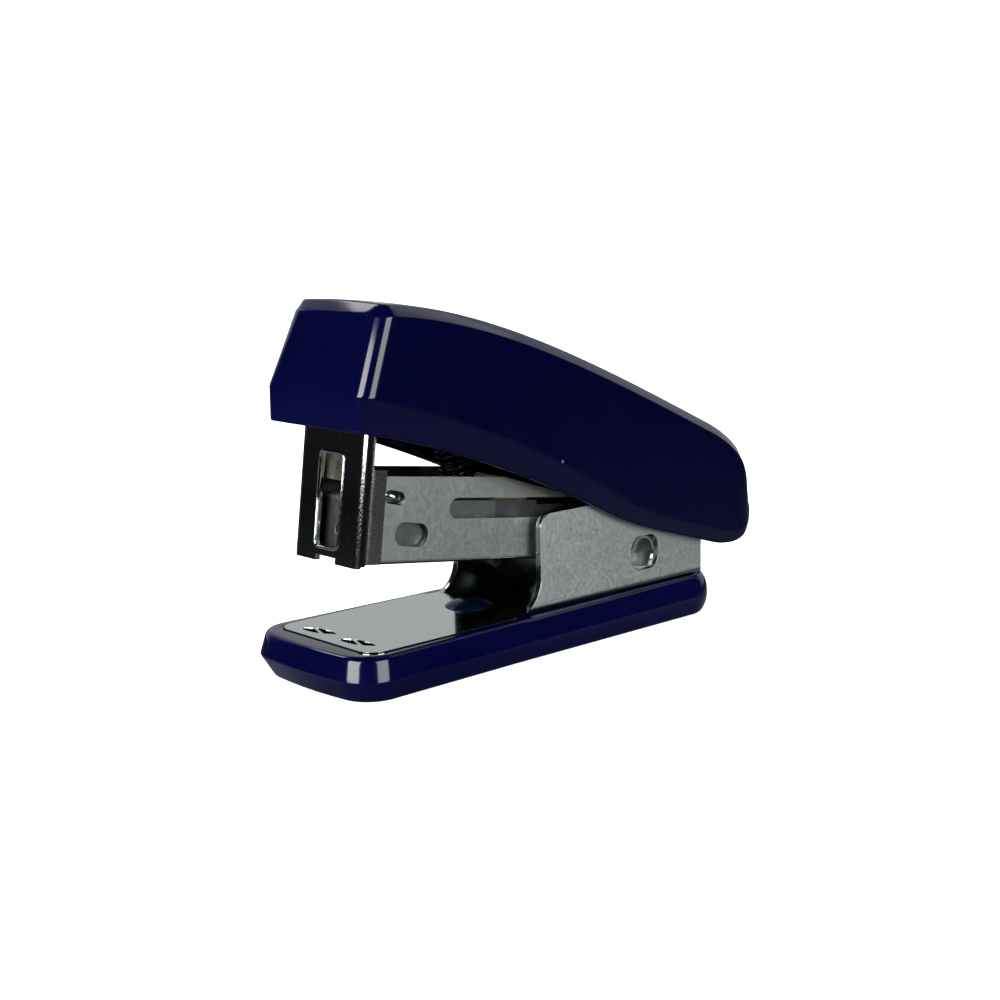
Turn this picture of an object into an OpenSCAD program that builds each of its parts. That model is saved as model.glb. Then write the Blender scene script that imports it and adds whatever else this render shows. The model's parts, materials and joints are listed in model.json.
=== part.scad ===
// Mini stapler for No. 10 staples.
// Frame: origin on the table under the middle of the stapler, +Z up, +X towards the hinge end,
// so the staple outlet faces -X. The stapler is drawn at rest, magazine sprung up.

/* [Base] */
// Front end of the plastic base
base_front = -30.9; // [-31.2:0.1:-30.6]
// Rear end of the plastic base
base_rear = 23.5; // [23.3:0.1:23.8]
// Half width of the base at its front, at the side crease
base_half_w = 9.8; // [9.7:0.1:10]
// Height of the rim round the steel frame
rim_z = 4.7; // [4.6:0.1:4.75]
// Height of the crease along the base's side
crease_z = 2.25; // [2:0.05:2.5]

/* [Steel frame] */
// Half width over the frame's side walls
frame_half_w = 7.1; // [7.05:0.05:7.15]
// Sheet thickness of the frame
frame_t = 0.8; // [0.7:0.05:0.8]
// Upper face of the frame's floor, which is also the anvil
anvil_z = 4.8; // [4.78:0.01:4.85]
// Front edge of the side walls
wall_front = -4.3; // [-4.5:0.1:-4.1]
// Rear edge of the side walls
wall_rear = 21.2; // [21.1:0.1:21.4]
// Top edge of the side walls
wall_top = 15; // [14.9:0.1:15.1]

/* [Hinge] */
// Distance of the hinge pin behind the middle of the stapler
hinge_x = 18.2; // [18.1:0.1:18.3]
// Height of the hinge pin
hinge_z = 11.5; // [11.4:0.1:11.6]
// Radius of the hinge pin
pin_r = 1.5; // [1.45:0.05:1.5]
// Slope of the magazine at rest, outlet end up
tilt = 7.5; // [7.3:0.1:7.7]

/* [Magazine] */
// Half width over the magazine's side walls
mag_half_w = 5.1; // [5.05:0.05:5.1]
// Sheet thickness of the magazine
mag_t = 0.6; // [0.5:0.05:0.6]
// Distance from the hinge to the face of the nose
nose_reach = 45.2; // [45.2:0.1:45.3]
// Half width over the nose
nose_half_w = 5.6; // [5.6:0.05:5.65]
// Half width over the crown of a staple
staple_half_w = 4.3; // [4.2:0.05:4.35]
// Length of the staple strip in the magazine
strip_l = 17.3; // [16:0.1:17.3]
// How far the pusher draws back from the strip
pusher_travel = 10; // [8:0.5:10]

/* [Handle] */
// Half width of the cover at its front
cover_front_w = 7.95; // [7.85:0.05:8.05]
// Half width of the cover over the frame's walls
cover_rear_w = 8.5; // [8.5:0.05:8.6]
// Wall thickness of the cover
cover_t = 1; // [0.9:0.05:1]
// Width of the bevel round the cover's top
cover_bevel = 1.15; // [1:0.05:1.2]
// Radius of the driver blade's outer face about the hinge
driver_r = 44.5; // [44.45:0.01:44.5]

/* [Hidden] */
$fn = 48;
eps = 0.01;
play = 0.04;

navy = [0.03, 0.03, 0.3];
zinc = [0.62, 0.64, 0.63];
chromed = [0.8, 0.82, 0.84];
steel = [0.5, 0.5, 0.52];
spring_steel = [0.16, 0.16, 0.17];
cream = [0.85, 0.81, 0.7];

// ---- curves and lofted skins

// Point at t on the cubic curve with the four control points c
function bez(c, t) = pow(1 - t, 3) * c[0] + 3 * t * pow(1 - t, 2) * c[1]
    + 3 * t * t * (1 - t) * c[2] + t * t * t * c[3];
// Point at u on a chain of curves; knots holds the value of u where each one starts, then 1
function chain(cs, knots, u, i = 0) =
    i == len(cs) - 1 || u <= knots[i + 1]
    ? bez(cs[i], (u - knots[i]) / (knots[i + 1] - knots[i]))
    : chain(cs, knots, u, i + 1);
// Rings of equal length joined into a closed skin, its ends closed by strips from point j to n - 1 - j
module skin(rings) {
    n = len(rings[0]);
    m = len(rings);
    sides = [for (i = [0:m - 2], j = [0:n - 1], k = [0, 1])
        let (a = i * n + j, b = i * n + (j + 1) % n, c = a + n, d = b + n)
        k == 0 ? [a, b, d] : [a, d, c]];
    last = (m - 1) * n;
    ends = [for (j = [0:ceil(n / 2) - 2]) let (k = n - 1 - j)
        each j + 1 == k - 1
            ? [[k, j + 1, j], [last + j, last + j + 1, last + k]]
            : [[k, k - 1, j + 1, j], [last + j, last + j + 1, last + k - 1, last + k]]];
    polyhedron([for (r = rings, p = r) p], concat(sides, ends), convexity = 6);
}
// Round wire of radius r swept along a list of points, bent mostly in the plane across side
module wire(path, r, side) {
    n = 8;
    m = len(path);
    skin([for (i = [0:m - 1])
        let (d = path[min(i + 1, m - 1)] - path[max(i - 1, 0)],
            e = d / norm(d),
            a = cross(e, side) / norm(cross(e, side)),
            b = cross(e, a))
        [for (j = [0:n - 1]) path[i] + r * (cos(j * 360 / n) * a + sin(j * 360 / n) * b)]]);
}
// Stadium on the XY plane: width w between circle centres, radius r
module stadium(w, r) {
    square([w, 2 * r], center = true);
    for (s = [-1, 1]) translate([s * w / 2, 0]) circle(r);
}
// Rectangle from a to b with corners of radius r
module rounded(a, b, r) {
    translate(a + [r, 0]) square([b[0] - a[0] - 2 * r, b[1] - a[1]]);
    translate(a + [0, r]) square([b[0] - a[0], b[1] - a[1] - 2 * r]);
    for (x = [a[0] + r, b[0] - r], y = [a[1] + r, b[1] - r]) translate([x, y]) circle(r);
}
// A side view (x, z) extruded across the stapler, from y0 to y1
module across(y0, y1) {
    translate([0, y1, 0]) rotate([90, 0, 0]) linear_extrude(y1 - y0) children();
}
// The same on both sides of the stapler
module both_sides(y0, y1) {
    across(y0, y1) children();
    across(-y1, -y0) children();
}
// What a round bend of radius r takes off the lower edges of a channel, from x0 to x1 and half w wide
module bend_cut(x0, x1, w, z, r) {
    for (s = [-1, 1]) translate([x0, s * (w - r), z]) difference() {
        translate([0, s > 0 ? 0 : -r - 1, -1]) cube([x1 - x0, r + 1, r + 1]);
        translate([-1, 0, r]) rotate([0, 90, 0]) cylinder(h = x1 - x0 + 2, r = r);
    }
}
// The magazine's own frame: origin on the hinge, -X towards the outlet
module at_hinge() {
    translate([hinge_x, 0, hinge_z]) rotate([0, tilt, 0]) children();
}

// ---- base

base_taper = 0.02;
corner_r = 4;
rear_r = 4.8;
front_bow = 0.3;
base_bottom_inset = 1.2;
base_rim_inset = 0.6;
recess_z = anvil_z - frame_t - 0.02;
deck_under = 2.8;
anvil_front = -27.9;
anvil_half_w = 7.8;
plate_rear = -7.5;
plate_r = 2;
stake_x = -8.4;
stake_r = 2.9;
rear_stake_x = 4.4;
rear_stake_r = 2;
stake_shank_r = 1;

// Outline of the base at height z, inset all round
function base_half(x) = base_half_w - base_taper * (x - base_front);
function base_ring(inset, z) =
    let (n = 8,
        xf = base_front + inset,
        xr = base_rear - inset,
        rf = corner_r - inset / 2,
        rr = rear_r - inset,
        wf = base_half(base_front) - inset,
        wr = base_half(base_rear) - inset)
    concat(
        [for (i = [0:n]) let (a = 180 - 90 * i / n)
            [xf + front_bow + rf + rf * cos(a), wf - rf + rf * sin(a), z]],
        [for (i = [0:n]) let (a = 90 - 90 * i / n)
            [xr - rr + rr * cos(a), wr - rr + rr * sin(a), z]],
        [for (i = [0:n]) let (a = -90 * i / n)
            [xr - rr + rr * cos(a), rr - wr + rr * sin(a), z]],
        [for (i = [0:n]) let (a = -90 - 90 * i / n)
            [xf + front_bow + rf + rf * cos(a), rf - wf + rf * sin(a), z]],
        [for (i = [1:n - 1]) let (s = 2 * i / n - 1)
            [xf + front_bow * s * s, s * (wf - rf), z]]);
// The two outlines of the frame's floor, grown by a gap: a wide front plate, and the strip under the walls
module front_plate(gap) {
    rounded([anvil_front - gap, -anvil_half_w - gap], [plate_rear, anvil_half_w + gap], plate_r);
}
module wall_strip(gap) {
    rounded([anvil_front + 5, -frame_half_w - gap], [wall_rear + gap, frame_half_w + gap], plate_r);
}
// Cells hollowed out under the deck, leaving ribs between them
module base_cells() {
    wall = 2.8;
    rib = 1;
    pitch = 8;
    intersection() {
        polygon([for (p = base_ring(wall, 0)) [p[0], p[1]]]);
        for (i = [0:6], y = [rib / 2, -rib / 2 - 9])
            translate([base_front + wall - 1 + i * pitch, y]) square([pitch - rib, 9]);
    }
}
module base_shell() color(navy) {
    difference() {
        skin([base_ring(base_rim_inset, rim_z), base_ring(0, crease_z + 0.1),
            base_ring(0, crease_z - 0.1), base_ring(base_bottom_inset, 0)]);
        translate([0, 0, recess_z]) linear_extrude(2) wall_strip(0.1);
        translate([0, 0, recess_z]) linear_extrude(3) front_plate(0.1);
        translate([0, 0, -1]) linear_extrude(deck_under + 1) base_cells();
        for (x = [stake_x, rear_stake_x]) translate([x, 0, 0]) {
            cylinder(h = 8, r = stake_shank_r + 0.15);
            translate([0, 0, -1]) cylinder(h = deck_under + 1, r = stake_shank_r + 1);
        }
    }
}
// Plastic rivets that hold the frame to the base: round heads above, flares below the deck
module base_rivets() color(navy) {
    flare = 0.5;
    for (s = [[stake_x, stake_r], [rear_stake_x, rear_stake_r]]) translate([s[0], 0, 0]) {
        translate([0, 0, deck_under - flare]) cylinder(h = anvil_z - deck_under + flare, r = stake_shank_r);
        translate([0, 0, deck_under - flare]) cylinder(h = flare - play, r = stake_shank_r + 0.7);
        translate([0, 0, anvil_z]) intersection() {
            translate([0, 0, 0.8 - s[1] * 1.6]) sphere(s[1] * 1.6);
            cylinder(h = 2, r = s[1] + 1);
        }
    }
}

// ---- steel frame

window_x = 11.7;
window_z = 8.45;
window_w = 4.4;
window_h = 3.9;
foot_r = 3.7;
anvil_x = -26;
anvil_y = 3.2;
anvil_skew = 11;
ear_r = 3.1;

module wall_outline() {
    difference() {
        union() {
            translate([wall_front, anvil_z - frame_t])
                square([wall_rear - wall_front, hinge_z - anvil_z + frame_t]);
            rounded([wall_front, hinge_z - 3], [hinge_x, wall_top], 1.6);
            translate([hinge_x - 4, hinge_z]) square([4, ear_r]);
            translate([hinge_x, hinge_z]) circle(ear_r);
            translate([wall_front - foot_r, anvil_z - frame_t]) square([foot_r, foot_r]);
        }
        translate([wall_front - foot_r, anvil_z + foot_r - 0.3]) circle(foot_r, $fn = 96);
        translate([window_x, window_z]) rounded(-[window_w, window_h] / 2, [window_w, window_h] / 2, 1.4);
        translate([hinge_x, hinge_z]) circle(pin_r + play);
    }
}
// One lens-shaped forming pocket of the anvil, with the ridge left standing between its lobes
module anvil_pocket() {
    l = 2.5;
    w = 0.75;
    r = (l * l + w * w) / (2 * w);
    difference() {
        intersection() {
            translate([r - w, 0, 0]) cylinder(h = 1, r = r, $fn = 96);
            translate([w - r, 0, 0]) cylinder(h = 1, r = r, $fn = 96);
        }
        translate([0, 0, -eps]) rotate(-30) translate([-0.15, -2, 0]) cube([0.3, 4, 1 + 2 * eps]);
    }
}
module base_frame() color(chromed) {
    difference() {
        union() {
            translate([0, 0, anvil_z - frame_t]) linear_extrude(frame_t) wall_strip(0);
            translate([0, 0, anvil_z - frame_t]) linear_extrude(frame_t) front_plate(0);
            both_sides(frame_half_w - frame_t, frame_half_w) wall_outline();
        }
        bend_cut(wall_front - foot_r, wall_rear + 1, frame_half_w, anvil_z - frame_t, 0.9);
        for (s = [-1, 1]) translate([anvil_x, s * anvil_y, anvil_z - 0.45]) rotate(anvil_skew) anvil_pocket();
        for (x = [stake_x, rear_stake_x]) translate([x, 0, 0]) cylinder(h = 8, r = stake_shank_r);
    }
}

// ---- hinge

module hinge_pin() color(steel) {
    head = 0.25;
    translate([hinge_x, 0, hinge_z]) rotate([90, 0, 0]) {
        cylinder(h = 2 * frame_half_w, r = pin_r, center = true);
        for (s = [-1, 1]) translate([0, 0, s * (frame_half_w + head / 2)])
            cylinder(h = head, r = pin_r + 0.5, center = true);
    }
}
sleeve_r = 2.1;
module spring_sleeve() color(steel) {
    l = 2 * (mag_half_w - mag_t) - 0.1;
    translate([hinge_x, 0, hinge_z]) rotate([90, 0, 0]) difference() {
        cylinder(h = l, r = sleeve_r, center = true);
        cylinder(h = l + 1, r = pin_r + play, center = true);
    }
}
// Torsion spring round the sleeve: one leg under the rail, the other on the frame's floor
module lift_spring() color(spring_steel) {
    wire_r = 0.3;
    coil_r = sleeve_r + 0.1 + wire_r;
    turns = 3.5;
    pitch = 0.7;
    steps = 14;
    leg = 7;
    start = 90 - tilt;
    coil = [for (i = [0:turns * steps]) let (a = start + 360 * i / steps)
        [coil_r * cos(a), pitch * (i / steps - turns / 2), coil_r * sin(a)]];
    last = coil[len(coil) - 1];
    translate([hinge_x, 0, hinge_z]) wire(concat(
        [coil[0] + leg * [-cos(tilt), 0, sin(tilt)] + [0, 0, -2.9]],
        [coil[0] + 2 * [-1, 0, -0.2]],
        coil, [last + [-3, 0, -1.1], last + [-7, 0, -3.1]]), wire_r, [0, 1, 0]);
}

// ---- magazine, in its own frame

web_z = -4.45;
mag_top = 4.34;
rear_top = 2.75;
knee_x = -26.5;
low_x = -18.5;
skirt_front = -10.2;
mag_front = 0.6 - nose_reach;
staple_front = -43.7;
slot_z = [0.05, 2.19];
flange_w = 0.55;
rail_half_w = 3.6;
rail_top = 1.25;
rail_rear = -6;
rod_z = -1.5;
rod_r = 0.6;
strip_top = 1.8;
strip_bottom = -3.25;
tab_r = 1.75;
tab_x = window_x - 0.2 - hinge_x;

module mag_side() {
    difference() {
        union() {
            polygon([[mag_front, web_z], [0, web_z], [0, rear_top], [low_x, rear_top],
                [knee_x, mag_top], [mag_front, mag_top]]);
            circle(-web_z);
            polygon([[skirt_front, web_z + 1], [skirt_front + 0.8, -5.8], [-3.2, -5.8], [-2.4, web_z + 1]]);
        }
        circle(pin_r + play);
        translate([(-33.75 - 9) / 2, (slot_z[0] + slot_z[1]) / 2])
            stadium(-9 + 33.75 - (slot_z[1] - slot_z[0]), (slot_z[1] - slot_z[0]) / 2);
        translate([-38.5, -1.48]) rotate(-4) stadium(2, 1.2);
        translate([-41, 2.25]) rotate(-8) stadium(1.2, 0.68);
    }
}
module magazine_channel() color(zinc) {
    bend_r = 0.5;
    tab_drop = window_z + window_h / 2 - tab_r - 0.05 - hinge_z;
    at_hinge() {
        difference() {
            both_sides(mag_half_w - mag_t, mag_half_w) mag_side();
            bend_cut(mag_front - 1, skirt_front - 0.5, mag_half_w, web_z, bend_r);
        }
        difference() {
            translate([staple_front, -mag_half_w + eps, web_z])
                cube([-staple_front - 3, 2 * mag_half_w - 2 * eps, mag_t]);
            translate([-11, -2.2, web_z - 1]) cube([9, 4.4, 2]);
            bend_cut(mag_front - 1, skirt_front - 0.5, mag_half_w - eps, web_z, bend_r);
        }
        for (s = [-1, 1]) {
            translate([-40.5, s * (mag_half_w - flange_w / 2) - flange_w / 2, mag_top - 0.45])
                cube([knee_x + 40.5, flange_w, 0.45]);
            translate([-41, s * (mag_half_w - 0.45), 2.25]) rotate([90, 0, 0])
                linear_extrude(0.3, center = true) rotate(-8) stadium(1.2, 0.68 + eps);
        }
    }
    for (s = [-1, 1]) translate([hinge_x + tab_x, s * (mag_half_w - mag_t / 2), hinge_z + tab_drop])
        rotate([-90 * s, 0, 0]) difference() {
            cylinder(h = frame_half_w - mag_half_w + mag_t / 2 - 0.1, r = tab_r);
            translate([-3, s > 0 ? eps : -3 - eps, -1]) cube([6, 3, 6]);
        }
}
module magazine_nose() color(chromed) {
    wall = 0.6;
    r = 1.2;
    top = 9.3;
    foot = -4.8;
    side_l = 2.6;
    slot_half = 1.9;
    at_hinge() difference() {
        translate([0, 0, foot]) linear_extrude(top - foot) difference() {
            translate([-nose_reach, 0]) rounded([0, -nose_half_w], [side_l + r, nose_half_w], r);
            translate([wall - nose_reach, -mag_half_w]) square([5, 2 * mag_half_w]);
            translate([side_l - nose_reach, -7]) square([5, 14]);
        }
        // long slot, notch between the feet, cut-back sides above and below
        translate([-nose_reach - 1, 0, 0]) rotate([90, 0, 90]) linear_extrude(3)
            rounded([-slot_half, -3.4], [slot_half, 6.2], 0.6);
        translate([-nose_reach - 1, -1.6, foot - 1]) cube([3, 3.2, 1.6]);
        for (s = [-1, 1]) {
            translate([0.95 - nose_reach, s * nose_half_w - 1, 5]) cube([3, 2, 5]);
            translate([0.95 - nose_reach, s * nose_half_w - 1, foot - 1]) cube([3, 2, 1.5]);
            translate([-nose_reach - 1, s * nose_half_w, foot]) rotate([45, 0, 0])
                cube([4, 1, 1], center = true);
        }
    }
}
module staple_rail() color(steel) {
    at_hinge() {
        l = rail_rear - staple_front;
        difference() {
            translate([staple_front, -rail_half_w, web_z + mag_t])
                cube([l, 2 * rail_half_w, rail_top - web_z - mag_t]);
            translate([staple_front + mag_t, mag_t - rail_half_w, web_z])
                cube([l, 2 * (rail_half_w - mag_t), rail_top - web_z - mag_t]);
            translate([staple_front + 2, -0.8, 0]) cube([-rail_rear + 28, 1.6, 3]);
            translate([staple_front - 1, 0, rod_z]) rotate([0, 90, 0]) cylinder(h = 3, r = rod_r);
        }
    }
}
module pusher_rod() color(steel) {
    at_hinge() translate([staple_front, 0, rod_z]) rotate([0, 90, 0])
        cylinder(h = -staple_front - 8.4, r = rod_r);
}
bracket_x = -9;
module rod_bracket() color(steel) {
    inner = rail_half_w - mag_t;
    at_hinge() difference() {
        union() {
            translate([bracket_x, -inner, web_z + mag_t])
                cube([0.6, 2 * inner, rail_top - web_z - 2 * mag_t]);
            translate([bracket_x - 2, -inner, web_z + mag_t]) cube([2.3, 2 * inner, 0.5]);
        }
        translate([bracket_x - 1, 0, rod_z]) rotate([0, 90, 0]) cylinder(h = 3, r = rod_r);
    }
}
module staple_strip() color(chromed) {
    wire_t = 0.5;
    count = floor(strip_l / wire_t);
    at_hinge() difference() {
        translate([staple_front, -staple_half_w, strip_bottom])
            cube([count * wire_t, 2 * staple_half_w, strip_top - strip_bottom]);
        translate([staple_front - 1, -rail_half_w - 0.05, strip_bottom - 1])
            cube([strip_l + 2, 2 * rail_half_w + 0.1, rail_top + 0.05 - strip_bottom + 1]);
        for (i = [1:count - 1]) translate([staple_front + i * wire_t, 0, strip_top])
            rotate([0, 45, 0]) cube([0.08, 20, 0.08], center = true);
    }
}
seat_x = -28.1;
seat_z = 2.5;
// Bridge between the magazine's walls, with a peg that centres the return spring
module spring_seat() color(zinc) {
    half = mag_half_w - mag_t;
    at_hinge() {
        translate([seat_x - 2.1, -half, seat_z]) cube([4.2, 2 * half, 0.4]);
        translate([seat_x, 0, seat_z]) cylinder(h = 1.6, r = 0.85);
    }
}
// Return spring between magazine and handle, leaning towards the outlet
spring_top = [-33, 0, 14.6];
spring_foot = [seat_x, 0, seat_z + 0.4];
function coil_points(a, b, r, turns, steps) =
    let (axis = b - a, l = norm(axis), e = axis / l, v = cross([0, 1, 0], e))
    [for (i = [0:turns * steps]) let (t = 360 * i / steps)
        a + axis * i / (turns * steps) + r * (cos(t) * [0, 1, 0] + sin(t) * v)];
module return_spring() color(spring_steel) {
    r = 0.22;
    e = (spring_top - spring_foot) / norm(spring_top - spring_foot);
    foot = spring_foot + 1.25 * r * e + [0.15, 0, 0.12];
    at_hinge() wire(coil_points(foot, spring_top - 1.5 * r * e, 1.5, 10, 10), r, e);
}
pusher_front = staple_front + floor(strip_l / 0.5) * 0.5 + 0.05;
pusher_l = 6;
module pusher_spring() color(spring_steel) {
    r = 0.2;
    at_hinge() wire(coil_points([pusher_front + pusher_l - 1.7 + r + 0.05, 0, rod_z],
        [bracket_x - r - 0.05, 0, rod_z], 1.25, 7, 12), r, [1, 0, 0]);
}
// Steel saddle that pushes the strip, with a leg through the rail's slot onto the rod
module pusher_shoe() color(steel) {
    t = 0.5;
    gap = 0.15;
    at_hinge() difference() {
        union() {
            difference() {
                translate([pusher_front, -staple_half_w + 0.1, strip_bottom])
                    cube([pusher_l, 2 * staple_half_w - 0.2, strip_top - strip_bottom]);
                translate([pusher_front - 1, -rail_half_w - gap, strip_bottom - 1])
                    cube([pusher_l + 2, 2 * (rail_half_w + gap), rail_top + gap - strip_bottom + 1]);
            }
            translate([pusher_front + 2, -0.6, rod_z - 1]) cube([2.2, 1.2, rail_top + 0.5 - rod_z + 1]);
            translate([pusher_front + 2, 0, rod_z]) rotate([0, 90, 0]) cylinder(h = 2.2, r = 1.3);
        }
        translate([pusher_front, 0, rod_z]) rotate([0, 90, 0]) cylinder(h = 9, r = rod_r + play);
    }
}
module pusher_tab() color(cream) {
    at_hinge() translate([pusher_front + 0.8, 0, strip_top]) {
        translate([0, -3.2, 0]) cube([4.6, 6.4, 0.8]);
        translate([1.6, -2.4, 0]) cube([1.4, 4.8, 1.5]);
        translate([2.3, 2.4, 1.5]) rotate([90, 0, 0]) cylinder(h = 4.8, r = 0.7);
    }
}

// ---- cover

cover_tail = 30.8;
cover_front = -27.6;
cover_knots = [0, 0.55, 0.8, 1];
// Side curves of the cover: lower edge, crease, upper edge of the sides
low_curves = [[[-28.25, 26.3], [-17.3, 24.2], [-3.5, 18.2], [5.3, 13.8]],
    [[5.3, 13.8], [9.6, 11.6], [15.8, 10.1], [22.2, 8.1]],
    [[22.2, 8.1], [26, 7], [28.8, 7.8], [29.3, 11]]];
crease_curves = [[[-28.1, 29.9], [-16.3, 26.8], [-4.9, 22.6], [8.4, 14.5]],
    [[8.4, 14.5], [12.4, 12.5], [17.9, 11.1], [23, 9.5]],
    [[23, 9.5], [26.6, 8.4], [28.9, 8.8], [29.4, 11.3]]];
side_top_curves = [[[-25, 37.1], [-12, 36.7], [6.7, 27.9], [22.1, 20.8]],
    [[22.1, 20.8], [27, 18.5], [29.2, 15.6], [29.5, 11.6]]];

function cover_half(x) = x < wall_front
    ? cover_front_w + (cover_rear_w - cover_front_w) * (x - cover_front) / (wall_front - cover_front)
    : cover_rear_w;
// Half width lost to the round corner of radius r, s behind a face
function corner_loss(s, r) = s >= r ? 0 : r - sqrt(max(0, r * r - (r - s) * (r - s)));
// One rib of the cover at u, grown inwards by t; drop lowers its open edge
function cover_rib(u, s, t, drop) =
    let (low = chain(low_curves, cover_knots, u),
        mid = chain(crease_curves, cover_knots, u),
        up = chain(side_top_curves, [0, 0.8, 1], u),
        up2 = chain(side_top_curves, [0, 0.8, 1], min(1, u + 0.01)),
        up1 = chain(side_top_curves, [0, 0.8, 1], min(1, u + 0.01) - 0.01),
        tan = (up2 - up1) / norm(up2 - up1),
        nrm = [-tan[1], tan[0]],
        rise = min(cover_bevel, 0.05 + s),
        top = up + nrm * (rise - t),
        side = up - nrm * t * 0.6,
        half = function(x, inset, r) max(0.3, cover_half(x) - inset - t
            - corner_loss(s, r) - corner_loss(max(0, cover_tail - t - x), 4)),
        r = [[low - [0, drop], half(low[0], 0.2 * (1 - t), 1.3)], [mid, half(mid[0], 0, 1.3)],
            [side, half(side[0], 0.4 - 0.2 * t, 2)], [top, half(top[0], 0.4 + cover_bevel, 2)]])
    concat([for (p = r) [p[0][0], -p[1], p[0][1]]], [[top[0] + nrm[0] * 0.2, 0, top[1] + nrm[1] * 0.2]],
        [for (i = [3:-1:0]) [r[i][0][0], r[i][1], r[i][0][1]]]);
// u and distance behind the front face for each rib
function cover_stations(u0, u1) = concat(
    [for (s = [0, 0.15, 0.5, 1, 1.6, 2.2]) [u0 + s * 0.016, s]],
    [for (i = [1:34]) let (u = u0 + 0.036 + (u1 - u0 - 0.036) * i / 34) [u, 3]]);
module cover_body(t, drop, u0, u1) {
    skin([for (p = cover_stations(u0, u1)) cover_rib(p[0], p[1], t, drop)]);
}
module cover_shell() color(navy) {
    difference() {
        cover_body(0, 0, 0, 1);
        cover_body(cover_t, 4, 0.017, 0.975);
    }
}
arm_half_w = 6.1;
arm_t = 0.6;
// Roof line of the steel arm and the line under its sides
arm_front = -21.2;
function arm_roof(t) = bez([[arm_front, 32.6], [-7.6, 32.2], [7.4, 25.2], [21, 17.2]], t);
function arm_line(drop) = [for (i = [0:20]) arm_roof(i / 20) - [0, drop]];
module arm_side() {
    difference() {
        union() {
            polygon(concat(arm_line(0), [[21, hinge_z], [15.6, hinge_z + 1.2],
                [8.4, 19.2], [-1.6, 24.4], [-11.6, 28], [arm_front, 30.6]]));
            translate([hinge_x, hinge_z]) circle(2.8);
        }
        translate([hinge_x, hinge_z]) circle(pin_r + play);
    }
}
// A band that hangs below the roof line, from depth a to depth b
function reversed(list) = [for (i = [len(list) - 1:-1:0]) list[i]];
module roof_band(a, b) {
    polygon(concat(arm_line(a), reversed(arm_line(b))));
}
stud_x = [-15.8, 4.4];
stud_collar_r = 1.3;
rivet_x = -19.2;
rivet_y = 2.4;
rivet_r = 0.6;
module at_rivets() {
    for (s = [-1, 1]) translate([rivet_x, s * rivet_y, 0]) children();
}
module handle_arm() color(zinc) {
    both_sides(arm_half_w - arm_t, arm_half_w) arm_side();
    difference() {
        across(-arm_half_w + eps, arm_half_w - eps) roof_band(0, arm_t);
        at_rivets() cylinder(h = 40, r = rivet_r);
        for (x = stud_x) translate([x, 0, 0]) cylinder(h = 40, r = stake_shank_r);
    }
}
// Plastic studs that hold the cover to the arm, pressed into its roof
module cover_studs() color(navy) {
    tops = [36.1, 29.6];
    for (i = [0, 1]) difference() {
        union() {
            translate([stud_x[i], 0, 20]) cylinder(h = tops[i] - 20, r = stake_shank_r);
            difference() {
                translate([stud_x[i], 0, 20]) cylinder(h = 15, r = stud_collar_r);
                across(-3, 3) roof_band(-12, arm_t);
            }
        }
        across(-3, 3) roof_band(arm_t + 0.5, 30);
    }
}
driver_w = 8.6;
driver_t = 0.45;
driver_bottom = 3.4;
// Blade bent to an arc about the hinge, with a flange under the arm's roof
module driver_blade() color(chromed) {
    flange_rear = -17.2;
    difference() {
        at_hinge() intersection() {
            rotate([90, 0, 0]) difference() {
                cylinder(h = driver_w, r = driver_r, center = true, $fn = 128);
                cylinder(h = driver_w + 2, r = driver_r - driver_t, center = true, $fn = 128);
            }
            translate([-driver_r - 1, -driver_w / 2 - 1, driver_bottom]) cube([6, driver_w + 2, 13]);
        }
        across(-9, 9) translate([-30, 32.5 - arm_t]) square([20, 20]);
    }
    difference() {
        across(-driver_w / 2, driver_w / 2) intersection() {
            roof_band(arm_t, arm_t + driver_t);
            translate([arm_front, 0]) square([flange_rear - arm_front, 50]);
        }
        at_rivets() cylinder(h = 40, r = rivet_r);
    }
}
module driver_rivets() color(steel) {
    head = 0.35;
    at_rivets() difference() {
        union() {
            translate([0, 0, 20]) cylinder(h = 20, r = rivet_r);
            difference() {
                translate([0, 0, 20]) cylinder(h = 20, r = 1.1);
                across(-9, 9) translate([-rivet_x, 0]) roof_band(0, arm_t + driver_t);
            }
        }
        across(-9, 9) translate([-rivet_x, 0]) roof_band(-20, -head);
        across(-9, 9) translate([-rivet_x, 0]) roof_band(arm_t + driver_t + head, 30);
    }
}
// Cup on a stem under the arm's roof for the return spring
module spring_cup() color(steel) {
    difference() {
        at_hinge() translate(spring_top) {
            cylinder(h = 0.5, r = 1.9);
            cylinder(h = 9, r = 1.1);
        }
        across(-3, 3) roof_band(-20, arm_t);
    }
}

base_shell();
base_rivets();
base_frame();
hinge_pin();
spring_sleeve();
lift_spring();
magazine_channel();
magazine_nose();
staple_rail();
pusher_rod();
rod_bracket();
staple_strip();
spring_seat();
return_spring();
pusher_spring();
pusher_shoe();
pusher_tab();
cover_shell();
cover_studs();
handle_arm();
driver_blade();
driver_rivets();
spring_cup();
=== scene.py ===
"""Looks of the mini stapler: moulded navy cover and base, formed sheet metal, springs, studio.

Lengths are in millimetres, and MM turns them into metres; only the studio's are in metres.
The stapler rests on z = 0 with its outlet towards -X, and is symmetric about y = 0.
"""

import json
import math

import bmesh
import bpy
from mathutils import Matrix, Vector


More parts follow.
